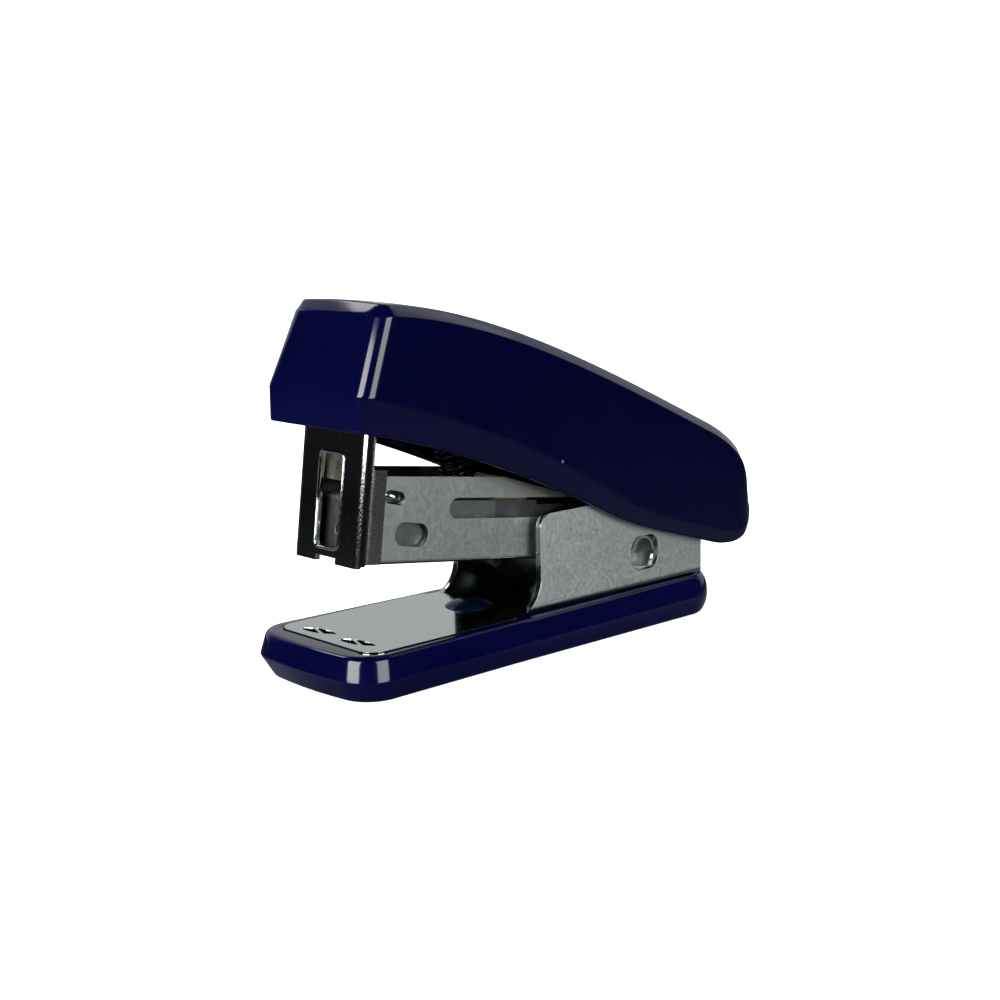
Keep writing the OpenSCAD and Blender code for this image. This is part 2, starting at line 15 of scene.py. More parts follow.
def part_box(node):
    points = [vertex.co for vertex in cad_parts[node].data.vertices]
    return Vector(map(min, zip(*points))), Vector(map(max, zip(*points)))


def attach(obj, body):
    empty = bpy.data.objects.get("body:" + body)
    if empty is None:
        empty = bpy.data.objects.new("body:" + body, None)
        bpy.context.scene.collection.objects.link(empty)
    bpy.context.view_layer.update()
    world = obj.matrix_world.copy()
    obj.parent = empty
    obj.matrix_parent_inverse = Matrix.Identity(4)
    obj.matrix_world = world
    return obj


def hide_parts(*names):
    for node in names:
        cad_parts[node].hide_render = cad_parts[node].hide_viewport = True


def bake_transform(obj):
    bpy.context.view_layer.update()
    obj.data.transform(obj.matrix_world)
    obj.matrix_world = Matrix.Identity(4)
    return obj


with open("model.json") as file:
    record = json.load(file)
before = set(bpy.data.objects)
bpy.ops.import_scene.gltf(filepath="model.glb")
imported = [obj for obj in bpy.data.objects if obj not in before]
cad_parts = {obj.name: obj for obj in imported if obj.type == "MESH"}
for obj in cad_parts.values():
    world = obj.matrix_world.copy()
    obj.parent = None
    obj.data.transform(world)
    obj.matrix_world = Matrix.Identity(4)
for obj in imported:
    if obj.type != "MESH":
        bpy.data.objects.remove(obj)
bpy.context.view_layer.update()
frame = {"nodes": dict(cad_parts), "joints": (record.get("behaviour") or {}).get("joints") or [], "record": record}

MM = 0.001
JOINTS = {j["name"]: j for j in frame["joints"]}
HINGE = Vector(JOINTS["magazine_hinge"]["pos_m"]) / MM
SLIDE = Vector(JOINTS["pusher_slide"]["axis"])
TILT = math.atan2(-SLIDE.z, SLIDE.x)  # of the magazine at rest
MERGE = 0.0005  # points closer than this are one point


# ---- mesh helpers


def box_mm(node):
    """Lowest and highest corner of a CAD node, in millimetres."""
    low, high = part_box(node)
    return low / MM, high / MM


def at_hinge(x, y, z):
    """A point of the magazine's own frame, whose origin is the hinge, in the part's frame."""
    return HINGE + Matrix.Rotation(TILT, 3, "Y") @ Vector((x, y, z))


def add_piece(name, points, faces, body, slot, replaces=()):
    """A smooth-shaded mesh piece from points in millimetres, riding on a body."""
    mesh = bpy.data.meshes.new(name)
    mesh.from_pydata([Vector(p) * MM for p in points], [], faces)
    mesh.validate()
    mesh.shade_smooth()
    piece = bpy.data.objects.new(name, mesh)
    bpy.context.scene.collection.objects.link(piece)
    mesh.materials.append(MATERIALS[slot])
    if body:
        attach(piece, body)
    if replaces:
        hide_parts(*replaces)
    return piece


def weigh_normals(piece):
    """Keeps broad faces flat in the shading beside narrow rounded edges."""
    modifier = piece.modifiers.new("weigh", "WEIGHTED_NORMAL")
    modifier.weight = 80
    modifier.keep_sharp = False


def fix_normals(piece):
    """Merges points that coincide and turns every face outwards."""
    bm = bmesh.new()
    bm.from_mesh(piece.data)
    bmesh.ops.remove_doubles(bm, verts=bm.verts, dist=MERGE * MM)
    bmesh.ops.recalc_face_normals(bm, faces=bm.faces)
    bm.to_mesh(piece.data)
    bm.free()


def loft(rings, closed=True, flip=False):
    """Quads between rings of equal length, as (points, faces)."""
    n = len(rings[0])
    faces = []
    for i in range(len(rings) - 1):
        for j in range(n if closed else n - 1):
            a, b = i * n + j, i * n + (j + 1) % n
            quad = (a, b, b + n, a + n)
            faces.append(quad[::-1] if flip else quad)
    return [p for ring in rings for p in ring], faces


def arc(centre, radius, start, end, steps):
    """Points on a circle from angle start to angle end, in degrees."""
    angles = [math.radians(start + (end - start) * i / steps) for i in range(steps + 1)]
    return [(centre[0] + radius * math.cos(a), centre[1] + radius * math.sin(a)) for a in angles]


def round_angles(steps):
    """Angles at even steps all round a circle, in radians."""
    return [2 * math.pi * k / steps for k in range(steps)]


def tube(path, radius, sides=12):
    """A round wire along a path, closed at both ends, as (points, faces)."""
    path = [Vector(p) for p in path]
    behind, ahead = path[:1] + path[:-1], path[1:] + path[-1:]
    tangents = [(b - a).normalized() for a, b in zip(behind, ahead)]
    normal = tangents[0].orthogonal().normalized()
    rings = []
    for p, t in zip(path, tangents):
        normal = (normal - t * normal.dot(t)).normalized()
        side = t.cross(normal)
        rings.append([p + radius * (math.cos(a) * normal + math.sin(a) * side)
                      for a in round_angles(sides)])
    points, faces = loft(rings)
    last = len(points) - sides
    faces.append(tuple(range(sides))[::-1])
    faces.append(tuple(range(last, last + sides)))
    return points, faces


def coil(a, b, radius, turns, wire, dead=1.5, steps=28):
    """Points of a wound spring from a to b, whose first and last dead turns lie wire to wire."""
    a, b = Vector(a), Vector(b)
    axis = (b - a).normalized()
    u = axis.cross(Vector((0, 1, 0))).normalized()
    v = axis.cross(u)
    dead_pitch = 2.1 * wire
    shut = dead * dead_pitch / (b - a).length
    points = []
    for i in range(int(turns * steps) + 1):
        turn = i / steps
        if turn < dead:
            t = shut * turn / dead
        elif turn > turns - dead:
            t = 1 - shut * (turns - turn) / dead
        else:
            t = shut + (1 - 2 * shut) * (turn - dead) / (turns - 2 * dead)
        angle = 2 * math.pi * turn
        points.append(a.lerp(b, t) + radius * (math.cos(angle) * u + math.sin(angle) * v))
    return points


# ---- materials


def scaled(colour, share):
    return tuple(c * share for c in colour)


class Shader:
    """A principled material and the few node chains that all finishes share."""

    def __init__(self, name, metallic, roughness, specular=0.5):
        self.material = bpy.data.materials.new(name)
        self.material.use_nodes = True
        self.tree = self.material.node_tree
        self.bsdf = self.tree.nodes["Principled BSDF"]
        self.bsdf.inputs["Metallic"].default_value = metallic
        self.bsdf.inputs["Roughness"].default_value = roughness
        self.bsdf.inputs["Specular IOR Level"].default_value = specular
        self.place = self.node("ShaderNodeTexCoord").outputs["Object"]

    def node(self, kind, **values):
        """A new node with its properties set."""
        made = self.tree.nodes.new(kind)
        for key, value in values.items():
            setattr(made, key, value)
        return made

    def join(self, a, b):
        self.tree.links.new(a, b)

    def noise(self, scale, stretch=(1, 1, 1), detail=4):
        """Noise with its scale per millimetre, stretched along the axes."""
        mapping = self.node("ShaderNodeMapping")
        mapping.inputs["Scale"].default_value = [s * scale / MM for s in stretch]
        self.join(self.place, mapping.inputs["Vector"])
        noise = self.node("ShaderNodeTexNoise")
        noise.inputs["Scale"].default_value = 1
        noise.inputs["Detail"].default_value = detail
        self.join(mapping.outputs["Vector"], noise.inputs["Vector"])
        return noise.outputs["Fac"]

    def spread(self, value, low, high, start=0.3, end=0.7):
        """Maps start..end of value to low..high."""
        ranged = self.node("ShaderNodeMapRange")
        bounds = {"From Min": start, "From Max": end, "To Min": low, "To Max": high}
        for key, number in bounds.items():
            ranged.inputs[key].default_value = number
        self.join(value, ranged.inputs["Value"])
        return ranged.outputs["Result"]

    def mix(self, factor, a, b):
        """Colour mixed from a to b, each a tuple or a socket."""
        mixed = self.node("ShaderNodeMix", data_type="RGBA")
        self.join(factor, mixed.inputs[0])
        for socket, value in ((mixed.inputs[6], a), (mixed.inputs[7], b)):
            if isinstance(value, tuple):
                socket.default_value = (*value, 1)
            else:
                self.join(value, socket)
        return mixed.outputs[2]

    def product(self, a, b):
        """Two sockets multiplied."""
        made = self.node("ShaderNodeMath", operation="MULTIPLY")
        self.join(a, made.inputs[0])
        self.join(b, made.inputs[1])
        return made.outputs[0]

    def along(self, axis):
        """The coordinate of the shaded point along X, Y or Z, in metres."""
        split = self.node("ShaderNodeSeparateXYZ")
        self.join(self.place, split.inputs[0])
        return split.outputs[axis]

    def outer(self, half, above, soft=0.05, rise=0.3):
        """1 at least half from the middle plane and above a height, in millimetres, else 0."""
        away = self.node("ShaderNodeMath", operation="ABSOLUTE")
        self.join(self.along("Y"), away.inputs[0])
        return self.product(
            self.spread(away.outputs[0], 0, 1, (half - soft) * MM, half * MM),
            self.spread(self.along("Z"), 0, 1, (above - rise) * MM, above * MM))

    def below(self, height, soft=0.04):
        """1 below a height in millimetres, else 0."""
        return self.spread(self.along("Z"), 1, 0, (height - soft) * MM, height * MM)

    def choose(self, factor, a, b):
        """A number mixed from a to b, each a number or a socket."""
        mixed = self.node("ShaderNodeMix", data_type="FLOAT")
        self.join(factor, mixed.inputs[0])
        for socket, value in ((mixed.inputs[2], a), (mixed.inputs[3], b)):
            if isinstance(value, (int, float)):
                socket.default_value = value
            else:
                self.join(value, socket)
        return mixed.outputs[0]

    def colour(self, socket):
        self.join(socket, self.bsdf.inputs["Base Color"])

    def rough(self, socket):
        self.join(socket, self.bsdf.inputs["Roughness"])

    def bump(self, *heights):
        """Bumps stacked on each other, each (height socket, depth in millimetres)."""
        normal = None
        for height, depth in heights:
            bump = self.node("ShaderNodeBump")
            bump.inputs["Strength"].default_value = 1
            bump.inputs["Distance"].default_value = depth * MM
            self.join(height, bump.inputs["Height"])
            if normal is not None:
                self.join(normal, bump.inputs["Normal"])
            normal = bump.outputs["Normal"]
        self.join(normal, self.bsdf.inputs["Normal"])


DUST = (0.35, 0.36, 0.45)


def moulded(name, deep, light, roughness, specular=0.5, side=None):
    """Glossy moulded plastic: faint flow marks, orange peel, finger smudges and a little dust.
    side is (half width, height, tone): painted shade, which darkens the outer side faces above the height to that
    share of the lighter tone."""
    s = Shader(name, 0, roughness, specular)
    tinted = s.mix(s.spread(s.noise(0.06, (1, 1, 2.5)), 0, 1), deep, light)
    # Painted shade on the cover's sides: outer faces above the height take a darker share of the lighter tone.
    if side:
        half, above, tone = side
        tinted = s.mix(s.outer(half, above, soft=1.2), tinted, scaled(light, tone))
    # Dust: a dot in the middle of a few cells
    cells = s.node("ShaderNodeTexVoronoi")
    cells.inputs["Scale"].default_value = 0.45 / MM
    s.join(s.place, cells.inputs["Vector"])
    dot = s.spread(cells.outputs["Distance"], 1, 0, 0.05, 0.09)
    cell = s.node("ShaderNodeSeparateColor")
    s.join(cells.outputs["Color"], cell.inputs["Color"])
    chosen = s.spread(cell.outputs["Red"], 0, 0.35, 0.93, 0.96)
    s.colour(s.mix(s.product(dot, chosen), tinted, DUST))
    s.rough(s.spread(s.noise(0.16, detail=6), roughness * 0.75, roughness * 1.5))
    s.bump((s.noise(0.9, detail=2), 0.0003), (s.noise(0.12, detail=2), 0.004))
    return s.material


def sheet_metal(name, dark, light, roughness, scratch=0.0004, mottle=2.5, satin_and_painted_tone=None, sunk=None):
    """Plated or rolled metal: cloudy tone, fine pitted mottle without direction, wear specks.
    satin is (half width, height, tone, roughness): faces within it are polished and have that
    roughness and that share of the tone, so that faces of one part differ in colour: painted shade
    between the walls of the frame and of the channel, and on the nose's flange, which stays darker
    than its front. Below the height sunk, the metal is nearly black: painted shade in the anvil's pockets."""
    s = Shader(name, 1, roughness)
    fine = s.noise(mottle, detail=5)
    clouds = s.mix(s.spread(s.noise(0.15, detail=6), 0, 1), dark, light)
    specks = s.spread(s.noise(mottle * 0.7, detail=9), 0, 0.1, 0.56, 0.72)
    tone = s.mix(specks, clouds, scaled(dark, 0.75))
    rough = s.spread(fine, roughness * 0.88, roughness * 1.14)
    # Painted shade: the polished tone below takes a share of the metal's colour, darker between the walls of the
    # frame and of the channel, and darker on the nose's flange than on its front.
    if satin_and_painted_tone:
        half, height, share, within = satin_and_painted_tone
        outer = s.outer(half, height)
        polished = s.mix(s.spread(fine, 0, 1), scaled(dark, share), scaled(light, share))
        tone = s.mix(outer, polished, tone)
        rough = s.choose(outer, s.spread(fine, within * 0.85, within * 1.15), rough)
    # Painted shade: below this height, in the anvil's pockets, the metal is nearly black.
    if sunk:
        tone = s.mix(s.below(sunk), tone, scaled(dark, 0.1))
    s.colour(tone)
    s.rough(rough)
    s.bump((fine, scratch), (s.noise(0.2, detail=3), scratch * 5))
    return s.material


def make_materials():
    """One material for each slot of the record, by its darker tone, lighter tone and roughness."""
    plastics = (
        # The navy plastic's side entry paints shade on the cover's outer side faces, at half the lighter tone.
        ("navy_plastic", (0.0002, 0.0004, 0.0115), (0.0004, 0.0006, 0.0155), 0.085,
         {"side": (8.2, 7.5, 0.5)}),
        # Painted shade: the stakes are of the base's navy plastic, and their darker colour here stands in for the
        # shade under the magazine; it is also greener.
        ("stake_plastic", (0.0003, 0.0012, 0.006), (0.0006, 0.0024, 0.01), 0.2, {"specular": 0.15}),
        ("cream_plastic", (0.4, 0.36, 0.27), (0.46, 0.42, 0.32), 0.35, {}))
    metals = (
        # Painted shade by the tone shares below: frame_steel and magazine_steel darken the faces between their
        # walls, nose_chrome keeps its flange darker than its front, and frame_steel's pockets are nearly black.
        ("frame_steel", (0.79, 0.85, 0.84), (0.86, 0.92, 0.91), 0.5,
         {"satin_and_painted_tone": (7.05, 5.3, 0.62, 0.1), "sunk": 4.72}),
        ("nose_chrome", (0.28, 0.29, 0.29), (0.46, 0.48, 0.49), 0.26,
         {"scratch": 0.0014, "mottle": 4, "satin_and_painted_tone": (5.55, 0, 1.4, 0.1)}),
        ("magazine_steel", (0.57, 0.61, 0.59), (0.65, 0.69, 0.67), 0.46,
         {"satin_and_painted_tone": (5.03, 0, 0.25, 0.2)}),
        ("rail_steel", (0.2, 0.215, 0.23), (0.25, 0.265, 0.28), 0.4, {}),
        ("arm_steel", (0.12, 0.12, 0.12), (0.18, 0.18, 0.18), 0.35, {}),
        ("blade_steel", (0.62, 0.58, 0.48), (0.7, 0.66, 0.55), 0.3, {}),
        ("pin_steel", (0.5, 0.5, 0.5), (0.6, 0.6, 0.61), 0.25, {}),
        ("staple_wire", (0.3, 0.33, 0.33), (0.38, 0.41, 0.41), 0.4, {}),
        ("spring_wire", (0.11, 0.1, 0.07), (0.18, 0.16, 0.11), 0.25, {}))
    return {slot: finish(slot, dark, light, roughness, **more)
            for finish, rows in ((moulded, plastics), (sheet_metal, metals))
            for slot, dark, light, roughness, more in rows}


MATERIALS = make_materials()


# ---- cover

# Side curves of the cover (x, z): lower edge, crease and upper edge of its sides. The knots are
# the shares of the way from front to tail at which one curve ends and the next starts.
LOW = [[(-28.25, 26.3), (-17.3, 24.2), (-3.5, 18.2), (5.3, 13.8)],
       [(5.3, 13.8), (9.6, 11.6), (15.8, 10.1), (22.2, 8.1)],
       [(22.2, 8.1), (26, 7), (28.8, 7.8), (29.3, 11)]]
CREASE = [[(-28.1, 29.9), (-16.3, 26.8), (-4.9, 22.6), (8.4, 14.5)],
          [(8.4, 14.5), (12.4, 12.5), (17.9, 11.1), (23, 9.5)],
          [(23, 9.5), (26.6, 8.4), (28.9, 8.8), (29.4, 11.3)]]
SIDE_TOP = [[(-25, 37.1), (-12, 36.7), (6.7, 27.9), (22.1, 20.8)],
            [(22.1, 20.8), (27, 18.5), (29.2, 15.6), (29.5, 11.6)]]
KNOTS = (0, 0.55, 0.8, 1)
TOP_KNOTS = (0, 0.8, 1)
COVER_FRONT_HALF = 7.95
COVER_REAR_HALF = 8.5
COVER_FRONT = -27.6
WALLS_FROM = -4.3
COVER_TAIL = 30.8
COVER_WALL = 1
LOW_INSET = 0.2
TOP_INSET = 0.4
BEVEL = 1.15
LOW_CORNER = 1.3
TOP_CORNER = 2
TAIL_CORNER = 4
CROWN = 0.2
EDGE = 0.14
LIP = (0.08, 0.3)
U_PER_MM = 0.016  # share of the curves in one millimetre behind the front face
LINING_SPAN = (0.017, 0.975)  # share of the curves where the inner skin runs
FRONT_STEPS = 16
REST_STEPS = 130


def bezier(c, t):
    """Point at t on a cubic curve with control points c."""
    s = 1 - t
    shares = (s ** 3, 3 * t * s * s, 3 * t * t * s, t ** 3)
    return sum((Vector(p) * share for p, share in zip(c, shares)), Vector((0, 0)))


def chain(curves, knots, u):
    """Point at u on curves that start at the given knots."""
    i = max(k for k in range(len(curves)) if u >= knots[k] or k == 0)
    return bezier(curves[i], (u - knots[i]) / (knots[i + 1] - knots[i]))


def cover_half(x):
    """Half width of the cover at its crease."""
    if x >= WALLS_FROM:
        return COVER_REAR_HALF
    widened = (x - COVER_FRONT) / (WALLS_FROM - COVER_FRONT)
    return COVER_FRONT_HALF + (COVER_REAR_HALF - COVER_FRONT_HALF) * widened


def corner_loss(s, r):
    """Half width lost to a round corner of radius r, at s behind its face."""
    return 0 if s >= r else r - math.sqrt(max(0, r * r - (r - s) ** 2))


def between(a, b, distance):
    """The point at a distance from a towards b."""
    return a + (b - a).normalized() * min(distance, (b - a).length / 2.2)


def cover_rib(u, s, t):
    """One side of a cross-section at u, from the lower edge to the roof, grown inwards by t."""
    low, mid, side = chain(LOW, KNOTS, u), chain(CREASE, KNOTS, u), chain(SIDE_TOP, TOP_KNOTS, u)
    ahead = min(1, u + 0.01)
    behind = ahead - 0.01
    tangent = (chain(SIDE_TOP, TOP_KNOTS, ahead) - chain(SIDE_TOP, TOP_KNOTS, behind)).normalized()
    normal = Vector((-tangent.y, tangent.x))
    rise = min(BEVEL, 0.05 + s)
    top = side + normal * (rise - t)
    side = side - normal * t * 0.6

    def out(p, inset, corner):
        loss = corner_loss(s, corner) + corner_loss(max(0, COVER_TAIL - t - p.x), TAIL_CORNER)
        return Vector((p.x, max(0.3, cover_half(p.x) - inset - t - loss), p.y))

    points = [out(low, LOW_INSET * (1 - t), LOW_CORNER), out(mid, 0, LOW_CORNER),
              out(side, TOP_INSET - LOW_INSET * t, TOP_CORNER),
              out(top, TOP_INSET + BEVEL, TOP_CORNER)]
    return points, normal


def half_ring(u, s, t, rounded, roof_steps=6):
    """Points of one half rib, with narrow strips at its edges where rounded, then the roof."""
    (low, mid, side, top), normal = cover_rib(u, s, t)
    crown = Vector((top.x + normal.x * CROWN, 0, top.z + normal.y * CROWN))
    roof = []
    for k in range(1, roof_steps):
        w = k / roof_steps
        p = top.lerp(crown, w)
        bulge = CROWN * (1 - (1 - w) ** 2 - w)
        roof.append(Vector((p.x + normal.x * bulge, p.y, p.z + normal.y * bulge)))
    if not rounded:
        return [low, mid, side, top, *roof], crown
    drop = min(EDGE, (top - side).length / 3)
    edge = [low + Vector((0, -LIP[1], 0)), between(low, mid, LIP[0]), between(low, mid, LIP[1]),
            between(mid, low, EDGE), between(mid, side, EDGE),
            between(side, mid, drop), between(side, top, drop),
            between(top, side, drop), between(top, roof[0], EDGE)]
    return edge + roof, crown


def full_ring(u, s, t, rounded):
    """A whole cross-section, from the near lower edge over the crown to the far one."""
    half, crown = half_ring(u, s, t, rounded)
    near = [Vector((p.x, -p.y, p.z)) for p in half]
    return near + [crown] + half[::-1]


def cover_stations(u0, u1):
    """(u, distance behind the front face) of each rib, close together round the front corner."""
    angles = [math.pi / 2 * k / FRONT_STEPS for k in range(FRONT_STEPS + 1)]
    depths = [TOP_CORNER * (1 - math.cos(a)) for a in angles]
    front = [(u0 + s * U_PER_MM, s) for s in depths]
    start = front[-1][0]
    return front + [(start + (u1 - start) * i / REST_STEPS, TOP_CORNER + 1)
                    for i in range(1, REST_STEPS + 1)]


def ladder(offset, n, flip):
    """Closes a ring of an odd number n of points with strips across it and one triangle."""
    faces = []
    for j in range(n // 2):
        k = n - 1 - j
        face = (j, j + 1, k - 1, k) if k - j > 2 else (j, j + 1, k)
        faces.append(tuple(offset + i for i in (face[::-1] if flip else face)))
    return faces


def build_cover():
    outer = [full_ring(u, s, 0, True) for u, s in cover_stations(0, 1)]
    inner = [full_ring(u, s, COVER_WALL, False) for u, s in cover_stations(*LINING_SPAN)]
    n, m, last = len(outer[0]), len(inner[0]), len(outer) - 1
    points, faces = loft(outer, closed=False)
    offset = len(points)
    lining, lining_faces = loft(inner, closed=False, flip=True)
    points += lining
    faces += [tuple(i + offset for i in f) for f in lining_faces]
    faces += ladder(0, n, False) + ladder(last * n, n, True)
    faces += ladder(offset, m, True) + ladder(offset + last * m, m, False)
    for i in range(last):  # the rim between the outer and the inner skin
        a, b = i * n, (i + 1) * n
        c, d = offset + i * m, offset + (i + 1) * m
        faces.append((a, b, d, c))
        faces.append((a + n - 1, c + m - 1, d + m - 1, b + n - 1))
    faces.append((0, offset, offset + m - 1, n - 1))
    tail, lining_tail = last * n, offset + last * m
    faces.append((tail, tail + n - 1, lining_tail + m - 1, lining_tail))
    cover = add_piece("cover_moulding", points, faces, "handle", "navy_plastic", ["cover_shell"])
    fix_normals(cover)
    weigh_normals(cover)


# ---- base

BASE_LOW, BASE_HIGH = box_mm("base_shell")
BASE_TAPER = 0.02
BASE_HALF = BASE_HIGH.y
CORNER = 4
REAR_CORNER = 4.8
BOW = 0.3
CREASE_Z = 2.25
RIM_Z = BASE_HIGH.z
BOTTOM_INSET = 1.2
RIM_INSET = 0.6
PLATE_LOW, PLATE_HIGH = box_mm("base_frame")
FRAME_HALF = 7.1
PLATE_REAR = -7.5
PLATE_CORNER = 2
NARROWS_AT = (90, 75, 60, 41)
RECESS_GAP = 0.12
RECESS_Z = PLATE_LOW.z - 0.02
DECK_UNDER = 2.8
REAR_BULGE = 1.3
REAR_ROUND = (14, 20)
BOW_STEPS = 12
# Rings of the base from its hollow underside, over its side and rim, into the plate's recess
HOLLOW_RINGS = ((2.8, DECK_UNDER), (2.8, 0.15), (2.65, 0))  # inset, height
SIDE_RINGS = ((0, 0.22), (0.08, 0.05), (0.24, 0), (0.6, 0), (1.1, 0), (1.7, 0),  # height, inset
              (CREASE_Z - 0.14, 0), (CREASE_Z, 0.01), (CREASE_Z + 0.14, 0),
              (2.9, 0), (3.4, 0), (3.9, 0),
              (RIM_Z - 0.42, 0), (RIM_Z - 0.2, 0.06), (RIM_Z - 0.06, 0.17), (RIM_Z, 0.42))
RECESS_RINGS = ((RIM_Z, 0.16), (RIM_Z - 0.05, 0.03), (RIM_Z - 0.18, 0), (RECESS_Z, 0))
RIB = 1
RIB_PITCH = 8
RIB_START = 1.8
RIB_INSET = 3.2
RIB_Z = (0.3, DECK_UNDER + 0.02)


def base_loop(front, rear, half_front, half_rear, r_front, r_rear, bow, z, sides, steps=12):
    """A closed outline of the base: round corners, a front that bows outwards, set points on
    its sides."""
    x_front = front + bow
    loop = []
    for (cx, cy), r, start, along in (
            ((x_front + r_front, half_front - r_front), r_front, 180, sides),
            ((rear - r_rear, half_rear - r_rear), r_rear, 90, ()),
            ((rear - r_rear, r_rear - half_rear), r_rear, 0, [(x, -y) for x, y in sides[::-1]]),
            ((x_front + r_front, r_front - half_front), r_front, -90, ())):
        loop += [(x, y, z) for x, y in arc((cx, cy), r, start, start - 90, steps)]
        loop += [(x, y, z) for x, y in along]
    straight = half_front - r_front
    for i in range(1, BOW_STEPS):
        s = 2 * i / BOW_STEPS - 1
        loop.append((front + bow * s * s, s * straight, z))
    return loop


def plate_corner(grow):
    """Points where the floor's wide front plate rounds down to the width over the walls."""
    centre = Vector((PLATE_REAR - PLATE_CORNER, PLATE_HIGH.y - PLATE_CORNER))
    angles = [math.radians(a) for a in NARROWS_AT]
    return [centre + (PLATE_CORNER + grow) * Vector((math.cos(a), math.sin(a))) for a in angles]


def outer_loop(inset, z):
    """The base's outline at height z, drawn in by an inset."""
    def half(x):
        return BASE_HALF - inset - BASE_TAPER * (x - BASE_LOW.x)

    sides = [(p.x, half(p.x)) for p in plate_corner(0)]
    return base_loop(BASE_LOW.x + inset, BASE_HIGH.x - inset, half(BASE_LOW.x), half(BASE_HIGH.x),
                     CORNER - inset / 2, REAR_CORNER - inset, BOW, z, sides)


def recess_loop(z, gap):
    """The outline of the recess that the frame's floor lies in, widened by a gap."""
    grow, corner = RECESS_GAP + gap, PLATE_CORNER + 0.1
    return base_loop(PLATE_LOW.x - grow, PLATE_HIGH.x + grow, PLATE_HIGH.y + grow,
                     FRAME_HALF + grow, corner, corner, 0, z, plate_corner(grow))


def side_inset(z):
    """How far the base's side lies within its crease, with flats above and below."""
    if z < CREASE_Z:
        return BOTTOM_INSET * (CREASE_Z - z) / CREASE_Z
    return RIM_INSET * (z - CREASE_Z) / (RIM_Z - CREASE_Z)


def side_loop(z, more=0):
    """The base's outline at height z: creased at the front and sides, round towards the rear."""
    middle = RIM_Z / 2
    bulge = REAR_BULGE * (1 - math.sqrt(1 - ((z - middle) / (middle + 0.15)) ** 2))
    creased, rounded = outer_loop(side_inset(z) + more, z), outer_loop(bulge + more, z)
    loop = []
    for a, b in zip(creased, rounded):
        t = min(1, max(0, (a[0] - REAR_ROUND[0]) / (REAR_ROUND[1] - REAR_ROUND[0])))
        t = t * t * (3 - 2 * t)
        loop.append(tuple(p + (q - p) * t for p, q in zip(a, b)))
    return loop


def build_base():
    rings = [outer_loop(*ring) for ring in HOLLOW_RINGS]
    rings += [side_loop(*ring) for ring in SIDE_RINGS]
    rings += [recess_loop(*ring) for ring in RECESS_RINGS]
    points, faces = loft(rings)
    n = len(rings[0])
    faces.append(tuple(range(n))[::-1])
    faces.append(tuple(range(len(points) - n, len(points))))
    points = [Vector(p) for p in points]
    add_ribs(points, faces)
    base = add_piece("base_moulding", points, faces, "base", "navy_plastic", ["base_shell"])
    fix_normals(base)
    weigh_normals(base)


def add_box(points, faces, low, high):
    """An axis-aligned box added to a piece's points and faces."""
    start = len(points)
    xs, ys, zs = zip(low, high)
    points += [Vector((x, y, z)) for z in zs for y in ys for x in xs]
    for f in ((0, 2, 3, 1), (4, 5, 7, 6), (0, 1, 5, 4), (2, 6, 7, 3), (0, 4, 6, 2), (1, 3, 7, 5)):
        faces.append(tuple(start + i for i in f))


def add_ribs(points, faces):
    """Stiffening ribs under the deck: one along it, and pairs across it on either side."""
    low, high = RIB_Z
    half = BASE_HALF - RIB_INSET
    for i in range(1, 6):
        x = BASE_LOW.x + RIB_START + i * RIB_PITCH - RIB
        for s in (-1, 1):
            near, far = sorted((s * 0.6, s * half))
            add_box(points, faces, (x, near, low), (x + RIB, far, high))
    add_box(points, faces, (BASE_LOW.x + RIB_INSET, -RIB / 2, low),
            (BASE_HIGH.x - RIB_INSET, RIB / 2, high))


# ---- springs

RETURN_FOOT = (-28.1, 0, 2.9)
RETURN_TOP = (-33, 0, 14.6)
RETURN_ENDS = (0.75, 0.33)  # what the seat and the cup take of its length
RETURN_WIRE = 0.16
RETURN_RADIUS = 1.6
RETURN_TURNS = 18
ROD_Z = -1.5
BRACKET_X = -9
SHOE_X = -22.35
PUSHER_WIRE = 0.2
PUSHER_RADIUS = 1.25
PUSHER_TURNS = 7
LIFT_WIRE = 0.3
LIFT_RADIUS = 2.5
LIFT_TURNS = 3.5
LIFT_PITCH = 0.7
LIFT_LEG = 7
LIFT_STEPS = 32


def build_return_spring():
    """Between the magazine and the handle, leaning towards the outlet."""
    foot, top = at_hinge(*RETURN_FOOT), at_hinge(*RETURN_TOP)
    axis = (top - foot).normalized()
    path = coil(foot + axis * RETURN_ENDS[0], top - axis * RETURN_ENDS[1],
                RETURN_RADIUS, RETURN_TURNS, RETURN_WIRE)
    points, faces = tube(path, RETURN_WIRE, 10)
    piece = add_piece("return_coil", points, faces, None, "spring_wire", ["return_spring"])
    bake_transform(piece)


def build_pusher_spring():
    """Round the rod, between its bracket and the pusher shoe."""
    clear = PUSHER_WIRE + 0.05
    start, end = at_hinge(SHOE_X + clear, 0, ROD_Z), at_hinge(BRACKET_X - clear, 0, ROD_Z)
    path = coil(start, end, PUSHER_RADIUS, PUSHER_TURNS, PUSHER_WIRE, dead=1)
    points, faces = tube(path, PUSHER_WIRE)
    piece = add_piece("pusher_coil", points, faces, None, "spring_wire", ["pusher_spring"])
    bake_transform(piece)


